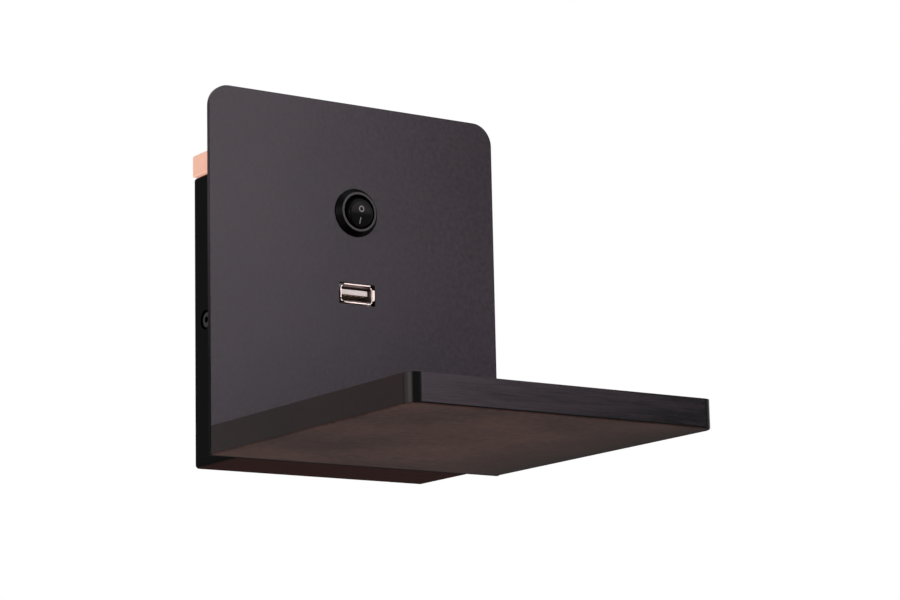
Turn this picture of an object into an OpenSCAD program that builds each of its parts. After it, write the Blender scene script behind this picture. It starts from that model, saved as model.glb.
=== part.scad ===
// Wall reading lamp with a small shelf, a charging socket and a rocker switch.
// Frame: X to the right, Y towards the wall (the wall is Y = 0), Z up.
// The origin is the middle of the wall fixing slots, on the wall.

/* [Front plate] */
// Width of the plate and of the shelf
plate_w = 120; // [110:1:180]
// Height of the plate, from the shelf's underside to its top edge
plate_h = 131; // [120:1:170]
// Thickness of the plate
plate_t = 1.5; // [1:0.1:3]
// Radius of the plate's two top corners
plate_corner_r = 8; // [2:0.5:20]
// Distance from the wall to the plate's front face
stand_off = 32; // [30:0.5:40]
// Height of the wall fixing above the shelf's underside
fixing_height = 52; // [50:1:56]

/* [Shelf] */
// Reach of the shelf in front of the plate
shelf_depth = 123; // [80:1:200]
// Height of the shelf's edge
shelf_h = 10; // [9:0.5:16]
// Radius of the shelf's two front corners
shelf_corner_r = 4.5; // [2:0.5:12]
// Radius of the folds along the shelf's lower edge
shelf_fold_r = 0.8; // [0.3:0.1:1.2]
// Sheet of the shelf tray and its top panel
shelf_sheet = 1.2; // [0.8:0.1:1.5]
// Gap round the top panel and behind the aprons
shelf_gap = 0.3; // [0.1:0.05:0.6]

/* [Housing] */
// Width of the box behind the plate
housing_w = 96; // [90:1:108]
// Height of the box behind the plate
housing_h = 104.8; // [100:0.2:112]
// Sheet of the box
housing_sheet = 1.2; // [0.8:0.1:1.5]
// Radius of the box's corners, seen from the front
housing_corner_r = 1.3; // [1.3:0.1:4]
// Radius of the folds round the box's front web
housing_fold_r = 1.2; // [0.6:0.1:1.3]
// Gap left between the box's rear edge and the wall
wall_gap = 0.3; // [0.1:0.1:1]

/* [Diffuser] */
// Height of the opal cover on top of the box
diffuser_h = 7.9; // [7:0.1:14]
// Wall of the opal cover
diffuser_wall = 2; // [1.5:0.1:3]
// How far the opal cover stands out past the sides of the box
diffuser_proud = 1.1; // [0:0.1:1.5]
// Width of the light source board
led_board_w = 16; // [12:0.5:20]
// Number of light sources on the board
led_count = 12; // [6:1:16]

/* [Wall bracket] */
// Sheet of the wall bracket
bracket_t = 1.5; // [1:0.1:2]
// Height of the wall bracket
bracket_h = 64; // [58:1:70]
// Distance between the two wall fixing slots
slot_spacing = 60; // [50:1:66]
// Width of a wall fixing slot
slot_w = 4.5; // [4:0.1:6]
// Length of a wall fixing slot, end to end
slot_l = 9; // [7:0.5:12]
// Distance of the two side screws from the wall
side_screw_y = 7.8; // [7:0.1:10]
// Diameter of the round pocket for a side screw's head
pocket_d = 7; // [6.6:0.1:9]
// Depth of that pocket
pocket_depth = 1.6; // [1.4:0.1:2.2]
// Diameter of the cable hole through the rubber grommet
cable_d = 7; // [5:0.5:9]

/* [Switch] */
// Height of the switch above the shelf's underside
switch_height = 91; // [88:0.5:93]
// Diameter of the switch's bezel on the plate
bezel_d = 17.5; // [17:0.1:19]
// How far the bezel's ring stands in front of the plate
bezel_h = 2.4; // [2:0.1:3]
// Diameter of the round opening in the bezel
well_d = 12.3; // [12:0.1:12.8]
// Diameter of the switch's barrel behind the plate
barrel_d = 14.7; // [14.5:0.1:15.2]
// Full swing of the rocker in degrees
rocker_swing = 24; // [16:1:26]
// Full swing of the contact lever in degrees
lever_swing = 18; // [12:1:20]

/* [Charging socket] */
// Height of the charging socket above the shelf's underside
usb_height = 61.4; // [60:0.2:63]
// Width of the socket's metal shell
usb_shell_w = 13.1; // [13:0.05:13.4]
// Height of the socket's metal shell
usb_shell_h = 5.7; // [5.6:0.05:6]
// Sheet of the socket's metal shell
usb_sheet = 0.3; // [0.2:0.05:0.35]
// How far the side lips of the shell flare outwards
usb_side_flare = 0.6; // [0.4:0.1:1.3]
// How far the upper and lower lips of the shell flare outwards
usb_edge_flare = 0.6; // [0.4:0.1:0.9]
// Gap between the flared lips and the cut-out in the plate
usb_cutout_gap = 0.5; // [0.3:0.1:1]

/* [Supplies and wiring] */
// Length of the light source's driver
driver_l = 58; // [45:1:62]
// Height of the driver
driver_h = 20; // [16:1:21]
// Depth of the driver
driver_d = 18; // [14:1:19]
// Distance between the poles of the terminal block
pole_pitch = 8; // [7.5:0.1:8.5]
// Diameter of the insulated leads
lead_d = 1.4; // [1:0.1:1.5]

/* [Hidden] */
$fn = 48;
eps = 0.01;                 // overshoot of a cut past the face that it opens
fit_gap = 0.05;             // radial running gap of a screw, pin or stud in its hole
seat_gap = 0.1;             // play of a part that drops into a sheet metal hole

// Levels and faces that the pieces share
plate_y = -stand_off;
plate_back = plate_y + plate_t;
web_back = plate_back + housing_sheet;
z_bottom = -fixing_height;
z_shelf_top = z_bottom + shelf_h;
z_plate_top = z_bottom + plate_h;
z_roof = z_bottom + housing_h;
shelf_front = plate_y - shelf_depth;
bracket_face = -bracket_t;

// Housing and bracket
ear_outer = housing_w / 2 - pocket_depth - housing_sheet;
ear_inner = ear_outer - bracket_t;
ear_reach = 18;
ear_h = 24;
side_screw_r = 2;
side_hole_r = side_screw_r + 0.25;
side_nut_flange_h = 2;
slot_r = slot_w / 2;
cable_z = -20;
grommet_hole_r = cable_d / 2 + 2.5;
grommet_lip = 1.6;

// Joint of plate, housing and shelf
stud_r = 1.5;
stud_l = 8;
stud_x = housing_w / 2 - 8;
stud_high = z_roof - 8;
shelf_screw_r = 2;
shelf_screw_z = z_bottom + shelf_h / 2;
shelf_screw_tip = 4;        // length of a shelf screw past the tray's rear wall
shelf_screw_x = housing_w / 2 - 13;
shelf_head_r = min(3.5, shelf_h / 2 - housing_sheet - 0.2);
nut_spigot = 0.65;          // how much wider a press nut's spigot is than its thread, in radius
top_panel_z = z_shelf_top - shelf_sheet;
tape_t = 0.6;
hat_h = top_panel_z - tape_t - (z_bottom + shelf_sheet);
hat_w = 24;
hat_flange = 8;
hat_sheet = 1;
hat_clear = 14;             // room left for the press nuts behind the stiffener

// Light source
led_board_t = 1.6;
led_wire_x = -(housing_w / 2 - 8);
led_board_x0 = led_wire_x + 5;
led_board_x1 = housing_w / 2 - 5;
led_y = (plate_back - wall_gap) / 2;
led_size = [3.5, 2.8, 0.7];
led_screw_r = 1.5;
led_screw_x = [led_board_x0 + 11, led_board_x1 - 6];
bush_r = 3;
hook_x = housing_w / 2 - 14;
hook_w = 8;
hook_t = 1.6;
hook_drop = 4;
hook_y = [plate_back + diffuser_wall + hook_t / 2, -wall_gap - diffuser_wall - hook_t / 2];

// Switch, in its own frame: +Z towards the room from the plate's front face, +Y up
switch_z = z_bottom + switch_height;
well_r = well_d / 2;
barrel_r = barrel_d / 2;
panel_hole_r = barrel_r + 0.15;
ring_r = well_r + 1;        // outer edge of the bezel's narrow front ring
pivot_z = -1.2;             // depth of the rocker's pivot
pivot_r = 0.9;
rocker_r = well_r - 0.15;   // how far the rocker may reach in the well as it swings
rocker_ridge = 5.2;         // height of the rocker's ridge over the pivot
rocker_under = 2.5;         // depth of the rocker's skirt under the pivot
stem_r = 2.2;
stem_l = 4.6;
plunger_bore_r = 1.3;
plunger_r = 1.2;
plunger_reach = 6;          // pivot to the middle of the plunger's round tip
tip_r = 1.1;
plunger_l = 2.6;
lever_t = 0.6;
lever_w = 3.4;
lever_arm = 4.6;
lever_bend_r = 0.25;        // bend of the strip, on which the lever rocks
lever_drop = 7.8;           // rocker's pivot to the lever's bend
lever_z = pivot_z - lever_drop;
contact_r = 1;
contact_t = 0.5;
contact_y = 3.6;
touch_gap = 0.03;
floor_z = lever_z - 1.1;
barrel_depth = 12;
spade_w = 4.8;
spade_t = 0.8;
spade_end = -19;
load_y = contact_y;
spring_wire = 0.3;
spring_r = 0.95;
spring_turns = 4;
panel_t = plate_t + housing_sheet;
barb_w = 3;
sleeve_wall = 0.4;
sleeve_l = 6.5;
sleeve_end = spade_end - 1.2;

// Charging socket, in a frame with +Z towards the room from the plate's front face, +Y up
usb_z = z_bottom + usb_height;
usb_mouth = -0.4;           // where the flared lips begin
usb_lip = 0.8;              // how far the lips run forward
usb_shell_l = 13.2;
usb_corner = 0.7;
usb_tongue_w = 11.1;
usb_tongue_t = 1.84;
usb_tongue_top = 0.7;       // gap between the shell and the tongue
usb_tongue_l = 8.6;
usb_block_l = 3;
usb_inner_h = usb_shell_h - 2 * usb_sheet;
usb_tongue_y = usb_inner_h / 2 - usb_tongue_top - usb_tongue_t;
usb_back = usb_mouth - usb_shell_l;
usb_cut_w = usb_shell_w + 2 * (usb_side_flare + usb_cutout_gap);
usb_cut_h = usb_shell_h + 2 * (usb_edge_flare + usb_cutout_gap);
contact_pitch = 2.3;
pin_w = 1;
pin_t = 0.25;
board_t = 1.6;
board_y = -usb_shell_h / 2 - board_t;
usb_case_wall = 1.2;
usb_case_w = 28;
usb_case_front = -panel_t;
usb_case_back = -22.5;
usb_floor = board_y - 1.5;
usb_room_h = 14.6;
usb_ceiling = usb_floor + usb_room_h;
usb_board_w = usb_case_w - 2 * usb_case_wall - 0.6;
usb_board_front = usb_case_front - usb_case_wall - 0.3;
usb_board_back = usb_case_back + usb_case_wall + 0.3;
usb_lug = 7;
usb_lug_h = 8;
usb_lug_z = 3;              // middle of the lugs over the middle of the socket

// Supplies and wiring
driver_x0 = -(housing_w / 2 - 4);
driver_z0 = shelf_screw_z + shelf_head_r + 0.5;
driver_top = driver_z0 + driver_h;
driver_back = web_back + driver_d;
stud_low = driver_top + 5;
driver_wall = 1.5;
driver_lug = 6;
block_w = 3 * pole_pitch + 2;
block_h = 16;
block_t = 9;
block_x = ear_outer - block_w / 2 - 8;
block_z = -18;
block_top = block_z + block_h / 2;
clamp_y = bracket_face - 5;
clamp_r = 2.4;
clamp_bore_r = 1.6;
tower_r = 2.6;
tower_h = 3;
pole_screw_z = 4.6;
earth_x = ear_inner - 6;
earth_z = 22;
lead_r = lead_d / 2;
lead_pair = lead_r + 0.05;
lead_in = 3;
live_x = block_x - pole_pitch;
neutral_x = block_x;
earth_pole_x = block_x + pole_pitch;
usb_under = usb_z + usb_floor - usb_case_wall;

// ---- Directions: each turns a piece's own +Z ----
module toward_room() rotate([90, 0, 0]) children();
module toward_wall() rotate([-90, 0, 0]) children();
module toward_right() rotate([0, 90, 0]) children();
module toward_left() rotate([0, -90, 0]) children();
module both_sides() for (side = [0, 1]) mirror([side, 0, 0]) children();
module at_switch() translate([0, plate_y, switch_z]) toward_room() children();
module at_socket() translate([0, plate_y, usb_z]) toward_room() children();

// ---- Sheet metal ----
module round_rect(w, d, r) {
    square([w - 2 * r, d], center = true);
    square([w, d - 2 * r], center = true);
    for (x = [-1, 1], y = [-1, 1]) translate([x * (w / 2 - r), y * (d / 2 - r)]) circle(r);
}

// What a fold of radius r leaves away from a square lower corner at x = reach
module fold_corner(reach, r) {
    difference() {
        translate([reach - r, -1]) square([r + 1, r + 1]);
        translate([reach - r, r]) circle(r);
    }
}

module fold_section(w, h, r) {
    difference() {
        translate([-w / 2, 0]) square([w, h]);
        fold_corner(w / 2, r);
        mirror([1, 0]) fold_corner(w / 2, r);
    }
}

// Block with round corners in plan and a fold radius along its lower edge
module folded_block(w, d, h, corner_r, fold_r) {
    rotate([90, 0, 0]) linear_extrude(d - 2 * corner_r, center = true) fold_section(w, h, fold_r);
    rotate([90, 0, 90]) linear_extrude(w - 2 * corner_r, center = true) fold_section(d, h, fold_r);
    for (x = [-1, 1], y = [-1, 1])
        translate([x * (w / 2 - corner_r), y * (d / 2 - corner_r), 0])
            rotate_extrude() difference() {
                square([corner_r, h]);
                fold_corner(corner_r, fold_r);
            }
}

// Pan folded from one sheet, with its floor at z = 0 and its open side up
module pan(w, d, h, corner_r, fold_r, sheet) {
    inner_r = max(corner_r - sheet, 0.2);
    difference() {
        folded_block(w, d, h, corner_r, fold_r);
        translate([0, 0, sheet]) linear_extrude(h) round_rect(w - 2 * sheet, d - 2 * sheet, inner_r);
    }
}

// ---- Fasteners: the head's bearing face is z = 0 and the shank points down ----
module screw(r, l, head_r, head_h) {
    difference() {
        union() {
            cylinder(r = head_r, h = head_h * 0.6);
            translate([0, 0, head_h * 0.6]) cylinder(r1 = head_r, r2 = head_r * 0.75, h = head_h * 0.4);
            translate([0, 0, -l]) cylinder(r = r, h = l + eps);
        }
        translate([0, 0, head_h * 0.35]) cylinder(r = r * 0.62, h = head_h, $fn = 6);
    }
}

// Press nut: its spigot sits in the sheet from z = 0 up, its flange bears on the far side
module press_nut(r, sheet, flange_h) {
    difference() {
        union() {
            cylinder(r = r + nut_spigot, h = sheet);
            translate([0, 0, sheet]) cylinder(r = r + 1.5, h = flange_h);
        }
        translate([0, 0, -eps]) cylinder(r = r + fit_gap, h = sheet + flange_h + 2 * eps);
    }
}

module flange_nut(r) {
    difference() {
        union() {
            cylinder(r = r * 2.3, h = 0.7);
            cylinder(r = r * 2.1, h = 2.6, $fn = 6);
        }
        translate([0, 0, -eps]) cylinder(r = r + fit_gap, h = 4);
    }
}

module stud_places() for (x = [-1, 1], z = [stud_low, stud_high]) translate([x * stud_x, plate_back, z]) children();
module shelf_screw_places() for (x = [-1, 0, 1]) translate([x * shelf_screw_x, 0, shelf_screw_z]) children();

// ---- Front plate and what holds it ----
module front_plate() {
    color("#4b444a") difference() {
        translate([0, plate_back, 0]) toward_room() linear_extrude(plate_t) difference() {
            union() {
                translate([-plate_w / 2, z_bottom]) square([plate_w, plate_h - plate_corner_r]);
                translate([plate_corner_r - plate_w / 2, z_bottom]) square([plate_w - 2 * plate_corner_r, plate_h]);
                for (x = [-1, 1])
                    translate([x * (plate_w / 2 - plate_corner_r), z_plate_top - plate_corner_r])
                        circle(plate_corner_r);
            }
            translate([0, switch_z]) circle(panel_hole_r);
            translate([0, usb_z]) round_rect(usb_cut_w, usb_cut_h, usb_corner);
        }
        shelf_screw_places() translate([0, plate_back + 1, 0]) toward_room() cylinder(r = shelf_screw_r + 0.25, h = plate_t + 2);
    }
}

module plate_studs() color("silver") stud_places() toward_wall() cylinder(r = stud_r, h = stud_l);

module plate_nuts() color("silver") stud_places() translate([0, housing_sheet, 0]) toward_wall() flange_nut(stud_r);

// ---- Shelf ----
module shelf_tray() {
    spare = 2 * shelf_corner_r;
    color("#2f292b") difference() {
        union() {
            difference() {
                translate([0, (shelf_front + plate_y + spare) / 2, z_bottom])
                    pan(plate_w, shelf_depth + spare, shelf_h, shelf_corner_r, shelf_fold_r, shelf_sheet);
                translate([-plate_w, plate_y, z_bottom - 1]) cube([2 * plate_w, 2 * spare, shelf_h + 2]);
                translate([-plate_w, plate_y - shelf_gap, z_bottom + shelf_sheet]) cube([2 * plate_w, spare, shelf_h]);
            }
            translate([shelf_sheet - plate_w / 2, plate_y - shelf_sheet, z_bottom])
                cube([plate_w - 2 * shelf_sheet, shelf_sheet, shelf_h - shelf_sheet]);
        }
        shelf_screw_places() translate([0, plate_y + 1, 0]) toward_room()
            cylinder(r = shelf_screw_r + nut_spigot, h = shelf_sheet + 1 + eps);
    }
}

module shelf_top() {
    inset = shelf_sheet + shelf_gap / 2;
    top_r = shelf_corner_r - inset;
    panel_w = plate_w - 2 * inset;
    panel_d = shelf_depth - inset - shelf_gap / 2;
    color("#4b444a") translate([0, shelf_front + inset + panel_d / 2, top_panel_z]) linear_extrude(shelf_sheet)
        union() {
            round_rect(panel_w, panel_d, max(top_r, 0.2));
            translate([-panel_w / 2, 0]) square([panel_w, panel_d / 2]);
        }
}

// Hat section that ties the tray's floor to the top panel
module shelf_stiffener() {
    color("gray") translate([0, plate_y - shelf_sheet - hat_clear, z_bottom + shelf_sheet]) toward_room()
        linear_extrude(shelf_depth - hat_clear - 3 * shelf_sheet - 6) difference() {
            union() {
                translate([-hat_w / 2, 0]) square([hat_w, hat_h]);
                translate([-hat_w / 2 - hat_flange, 0]) square([hat_w + 2 * hat_flange, hat_sheet]);
            }
            translate([hat_sheet - hat_w / 2, -1]) square([hat_w - 2 * hat_sheet, hat_h - hat_sheet + 1]);
        }
}

module shelf_tape() {
    color("dimgray") translate([-hat_w / 2 + 1, plate_y - shelf_depth + 3 * shelf_sheet + 8, top_panel_z - tape_t])
        cube([hat_w - 2, shelf_depth - hat_clear - 4 * shelf_sheet - 12, tape_t]);
}

module shelf_nuts() color("silver") shelf_screw_places() translate([0, plate_y, 0]) toward_room()
    press_nut(shelf_screw_r, shelf_sheet, 2.6);

module shelf_screws() color("silver") shelf_screw_places() translate([0, web_back, 0]) toward_wall()
    screw(shelf_screw_r, panel_t + shelf_sheet + shelf_screw_tip, shelf_head_r, 2);

// ---- Housing behind the plate ----
module housing() {
    depth = stand_off - plate_t - wall_gap;
    mid_z = z_bottom + housing_h / 2;
    color("#141213") difference() {
        union() {
            translate([0, plate_back, mid_z]) toward_wall()
                pan(housing_w, housing_h, depth, housing_corner_r, housing_fold_r, housing_sheet);
            both_sides() translate([housing_w / 2 - housing_sheet + eps, -side_screw_y, 0]) toward_left()
                cylinder(r = pocket_d / 2 + housing_sheet, h = pocket_depth + eps);
        }
        both_sides() translate([housing_w / 2 + 1, -side_screw_y, 0]) toward_left() {
            cylinder(r = pocket_d / 2, h = pocket_depth + 1);
            cylinder(r = side_hole_r, h = pocket_depth + housing_sheet + 2);
        }
        translate([0, plate_back - 1, switch_z]) toward_wall() cylinder(r = panel_hole_r, h = housing_sheet + 2);
        translate([0, plate_back - 1, usb_z]) toward_wall() linear_extrude(housing_sheet + 2)
            round_rect(usb_cut_w, usb_cut_h, usb_corner);
        stud_places() translate([0, -1, 0]) toward_wall() cylinder(r = stud_r + 0.3, h = housing_sheet + 2);
        shelf_screw_places() translate([0, plate_back - 1, 0]) toward_wall()
            cylinder(r = shelf_screw_r + 0.25, h = housing_sheet + 2);
        driver_screw_places() translate([0, -1, 0]) toward_wall() cylinder(r = 1.5 + fit_gap, h = housing_sheet + 2);
        usb_screw_places() translate([0, -1, 0]) toward_wall() cylinder(r = 1.25 + fit_gap, h = housing_sheet + 2);
        for (x = led_screw_x) translate([x, led_y, z_roof - housing_sheet - 1])
            cylinder(r = led_screw_r + fit_gap, h = housing_sheet + 2);
        translate([led_wire_x, led_y, z_roof - housing_sheet - 1]) cylinder(r = bush_r, h = housing_sheet + 2);
        for (x = [-1, 1], y = hook_y)
            translate([x * hook_x - hook_w / 2 - seat_gap, y - hook_t / 2 - seat_gap, z_roof - housing_sheet - 1])
                cube([hook_w + 2 * seat_gap, hook_t + 2 * seat_gap, housing_sheet + 2]);
    }
}

// ---- Light ----
module diffuser() {
    out_w = housing_w + 2 * diffuser_proud;
    out_d = -wall_gap - plate_back;
    barb = 0.7;
    color("#f0b8a2", 0.9) translate([0, (plate_back - wall_gap) / 2, z_roof]) {
        difference() {
            translate([0, 0, diffuser_h]) mirror([0, 0, 1]) folded_block(out_w, out_d, diffuser_h, diffuser_wall / 2, 0.8);
            translate([0, 0, -1]) linear_extrude(diffuser_h - diffuser_wall + 1)
                round_rect(out_w - 2 * diffuser_wall, out_d - 2 * diffuser_wall, 0.6);
        }
    }
    color("#f0b8a2", 0.9) for (x = [-1, 1], i = [0, 1])
        translate([x * hook_x, hook_y[i], z_roof]) mirror([0, i, 0]) rotate([90, 0, 90])
            linear_extrude(hook_w, center = true)
                polygon([[-hook_t / 2 - 0.5, diffuser_h - diffuser_wall], [-hook_t / 2 - 0.5, eps],
                         [-hook_t / 2, eps], [-hook_t / 2, -hook_drop], [hook_t / 2, -hook_drop],
                         [hook_t / 2 + barb, -housing_sheet - 0.2 - barb], [hook_t / 2 + barb, -housing_sheet - 0.2],
                         [hook_t / 2, -housing_sheet - 0.2], [hook_t / 2, diffuser_h - diffuser_wall]]);
}

module led_board() {
    color("white") translate([led_board_x0, led_y - led_board_w / 2, z_roof]) difference() {
        cube([led_board_x1 - led_board_x0, led_board_w, led_board_t]);
        for (x = led_screw_x) translate([x - led_board_x0, led_board_w / 2, -1])
            cylinder(r = led_screw_r + 0.2, h = led_board_t + 2);
    }
}

module led_chips() {
    first = led_board_x0 + 6;
    step = (led_board_x1 - led_board_x0 - 10) / led_count;
    color("lightyellow") for (i = [0 : led_count - 1])
        translate([first + i * step, led_y + (i % 2 == 0 ? 1 : -1) * (led_screw_r + 3), z_roof + led_board_t])
            translate([-led_size[0] / 2, -led_size[1] / 2, 0]) cube(led_size);
}

module led_screws() color("silver") for (x = led_screw_x)
    translate([x, led_y, z_roof + led_board_t]) screw(led_screw_r, led_board_t + 4, 2.7, 1.6);

module led_bush() {
    groove_r = bush_r - 0.05;
    color("#333333") translate([led_wire_x, led_y, z_roof]) rotate_extrude()
        polygon([[groove_r - 0.8, -housing_sheet - 0.9], [bush_r + 0.7, -housing_sheet - 0.9],
                 [bush_r + 0.7, -housing_sheet], [groove_r, -housing_sheet], [groove_r, 0],
                 [bush_r + 0.7, 0], [bush_r + 0.7, 0.9], [groove_r - 0.8, 0.9]]);
}

// ---- Wall bracket ----
module wall_bracket() {
    color("#9aa0a3") difference() {
        union() {
            translate([-ear_outer, bracket_face, -bracket_h / 2]) cube([2 * ear_outer, bracket_t, bracket_h]);
            both_sides() translate([ear_inner, -ear_reach, -ear_h / 2]) cube([bracket_t, ear_reach, ear_h]);
        }
        for (x = [-1, 1]) translate([x * slot_spacing / 2, bracket_face - 1, 0]) toward_wall()
            linear_extrude(bracket_t + 2) {
                square([slot_l - slot_w, slot_w], center = true);
                for (end = [-1, 1]) translate([end * (slot_l - slot_w) / 2, 0]) circle(slot_r);
            }
        translate([0, bracket_face - 1, cable_z]) toward_wall() cylinder(r = grommet_hole_r, h = bracket_t + 2);
        both_sides() translate([ear_inner - 1, -side_screw_y, 0]) toward_right()
            cylinder(r = side_screw_r + nut_spigot, h = bracket_t + 2);
        for (x = [-0.5, 0.5]) translate([block_x + x * pole_pitch, bracket_face - 1, block_z]) toward_wall()
            cylinder(r = 1.25 + fit_gap, h = bracket_t + 2);
        translate([earth_x, bracket_face - 1, earth_z]) toward_wall() cylinder(r = 2 + fit_gap, h = bracket_t + 2);
    }
}

module bracket_nuts() color("silver") both_sides() translate([ear_outer, -side_screw_y, 0]) toward_left()
    press_nut(side_screw_r, bracket_t, side_nut_flange_h);

module side_screws() color("#18181a") both_sides()
    translate([housing_w / 2 - pocket_depth, -side_screw_y, 0]) toward_right()
        screw(side_screw_r, housing_sheet + bracket_t + side_nut_flange_h, pocket_d / 2 - 0.3, pocket_depth - 0.3);

module cable_grommet() {
    groove_r = grommet_hole_r - 0.05;
    color("#222222") translate([0, 0, cable_z]) toward_room() rotate_extrude()
        polygon([[cable_d / 2, 0], [groove_r, 0], [groove_r, bracket_t], [groove_r + grommet_lip, bracket_t],
                 [groove_r + grommet_lip, bracket_t + 1], [groove_r - 0.4, bracket_t + 2.4],
                 [cable_d / 2, bracket_t + 2.4]]);
}

// ---- Terminal block and earth ----
module poles() for (i = [-1, 0, 1]) translate([block_x + i * pole_pitch, clamp_y, block_z]) children();
module pole_screws() poles() for (z = [-1, 1]) translate([0, 0, z * pole_screw_z]) toward_room() children();

module terminal_block() {
    color("#e8e4da") difference() {
        union() {
            translate([block_x - block_w / 2, bracket_face - block_t, block_z - block_h / 2])
                cube([block_w, block_t, block_h]);
            pole_screws() cylinder(r = tower_r, h = block_t - 5 + tower_h);
        }
        poles() cylinder(r = clamp_r + fit_gap, h = block_h + 2, center = true);
        pole_screws() cylinder(r = 1.6, h = block_t + tower_h);
        for (x = [-0.5, 0.5]) translate([block_x + x * pole_pitch, bracket_face + 1, block_z]) toward_room()
            cylinder(r = 1.4, h = block_t + 2);
    }
}

module terminal_clamps() {
    color("gold") difference() {
        poles() cylinder(r = clamp_r, h = block_h - 2, center = true);
        poles() cylinder(r = clamp_bore_r, h = block_h, center = true);
        pole_screws() cylinder(r = 1.5, h = block_t);
    }
}

module terminal_screws() {
    color("silver") pole_screws() translate([0, 0, clamp_bore_r + 0.2]) difference() {
        cylinder(r = 1.5 - fit_gap, h = 4.2);
        translate([-2, -0.25, 3.4]) cube([4, 0.5, 1]);
    }
}

module block_screws() color("silver") for (x = [-0.5, 0.5])
    translate([block_x + x * pole_pitch, bracket_face - block_t, block_z]) toward_room()
        screw(1.25, block_t + bracket_t, 2.3, 1.6);

module earth_tag() {
    color("gold") translate([earth_x, bracket_face, earth_z]) toward_room() difference() {
        union() {
            cylinder(r = 4, h = 0.8);
            translate([-1.6, -6, 0]) cube([3.2, 6, 0.8]);
            translate([0, -5, 1.7]) rotate([90, 0, 0]) cylinder(r = 1.7, h = 5);
        }
        translate([0, 0, -1]) cylinder(r = 2.15, h = 3);
        translate([0, -7, 1.7]) rotate([90, 0, 0]) cylinder(r = lead_r + 0.1, h = 5);
    }
}

module earth_screw() color("#b9c0a0") translate([earth_x, bracket_face - 0.8, earth_z]) toward_room()
    screw(2, 0.8 + bracket_t, 3.6, 2.2);

// ---- Driver for the light source ----
module driver_screw_places() for (x = [driver_x0 + driver_lug / 2, driver_x0 + driver_l - driver_lug / 2])
    translate([x, web_back - housing_sheet, driver_z0 + driver_h / 2]) children();

module driver_case() {
    body_l = driver_l - 2 * driver_lug;
    color("#f2f2ee") difference() {
        union() {
            translate([driver_x0 + driver_lug, web_back, driver_z0]) cube([body_l, driver_d - driver_wall, driver_h]);
            translate([driver_x0, web_back, driver_z0 + 4]) cube([driver_l, 2, driver_h - 8]);
        }
        driver_screw_places() translate([0, -1, 0]) toward_wall() cylinder(r = 1.7, h = housing_sheet + 5);
        for (i = [0 : 4]) translate([driver_x0 + driver_lug + 8 + i * 6, web_back + 4, driver_z0 - eps])
            cube([2.4, driver_d - driver_wall - 7, 0.8]);
    }
}

module driver_lid() {
    color("#e2e2dc") translate([driver_x0 + driver_lug - 0.4, driver_back - driver_wall, driver_z0 - 0.4])
        cube([driver_l - 2 * driver_lug + 0.8, driver_wall, driver_h + 0.4]);
}

module driver_screws() color("silver") driver_screw_places() translate([0, housing_sheet + 2, 0]) toward_wall()
    screw(1.5, 2 + housing_sheet, 2.7, 1.8);

// ---- Charging socket and its supply ----
module usb_screw_places() for (x = [-1, 1])
    translate([x * (usb_case_w / 2 + usb_lug / 2), plate_back, usb_z + usb_lug_z]) children();

module usb_case() {
    inner_w = usb_case_w - 2 * usb_case_wall;
    depth = usb_case_front - usb_case_back;
    color("#f2f2ee") at_socket() difference() {
        union() {
            translate([-usb_case_w / 2, usb_floor - usb_case_wall, usb_case_back])
                cube([usb_case_w, usb_ceiling - usb_floor + 2 * usb_case_wall, depth]);
            translate([-usb_case_w / 2 - usb_lug, usb_lug_z - usb_lug_h / 2, usb_case_front - 2])
                cube([usb_case_w + 2 * usb_lug, usb_lug_h, 2]);
        }
        translate([-inner_w / 2, usb_floor, usb_case_back - 1])
            cube([inner_w, usb_ceiling - usb_floor, depth + 1 - usb_case_wall]);
        translate([0, 0, usb_case_front - usb_case_wall - 1]) linear_extrude(usb_case_wall + 2)
            square([usb_shell_w + 0.4, usb_shell_h + 0.4], center = true);
        for (x = [-1, 1]) translate([x * (usb_case_w / 2 + usb_lug / 2), usb_lug_z, usb_case_front - 3])
            cylinder(r = 1.4, h = 4);
    }
}

module usb_lid() {
    color("#e2e2dc") at_socket() difference() {
        translate([-usb_case_w / 2, usb_floor - usb_case_wall, usb_case_back - 1.2])
            cube([usb_case_w, usb_ceiling - usb_floor + 2 * usb_case_wall, 1.2]);
        for (i = [0 : 4]) translate([-9 + i * 2.4, usb_ceiling - 5, usb_case_back - 2]) cube([1, 4, 3]);
    }
}

module usb_case_screws() color("silver") usb_screw_places() translate([0, housing_sheet + 2, 0]) toward_wall()
    screw(1.25, 2 + housing_sheet, 2.3, 1.6);

module usb_board() {
    color("#2f6b45") at_socket() difference() {
        translate([-usb_board_w / 2, board_y, usb_board_back])
            cube([usb_board_w, board_t, usb_board_front - usb_board_back]);
        for (x = [-1, 1]) translate([x * (usb_shell_w / 2 - usb_sheet / 2) - 0.35, board_y - 1, usb_back + 4.4])
            cube([0.7, board_t + 2, 2.2]);
        for (i = [0 : 3]) translate([(i - 1.5) * contact_pitch, board_y - 1, usb_back - 1])
            rotate([-90, 0, 0]) cylinder(r = 0.6, h = board_t + 2);
    }
}

// One spring finger, lifted from the shell's wall towards the plug
module shell_finger() {
    rotate([90, 0, 90]) linear_extrude(1.6, center = true)
        polygon([[0, 0], [0, -usb_sheet], [-0.55, -usb_sheet - 3.2], [-0.1, -usb_sheet - 4.4],
                 [0.15, -usb_sheet - 4.3], [-0.25, -usb_sheet - 3.2], [usb_sheet, 0]]);
}

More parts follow.
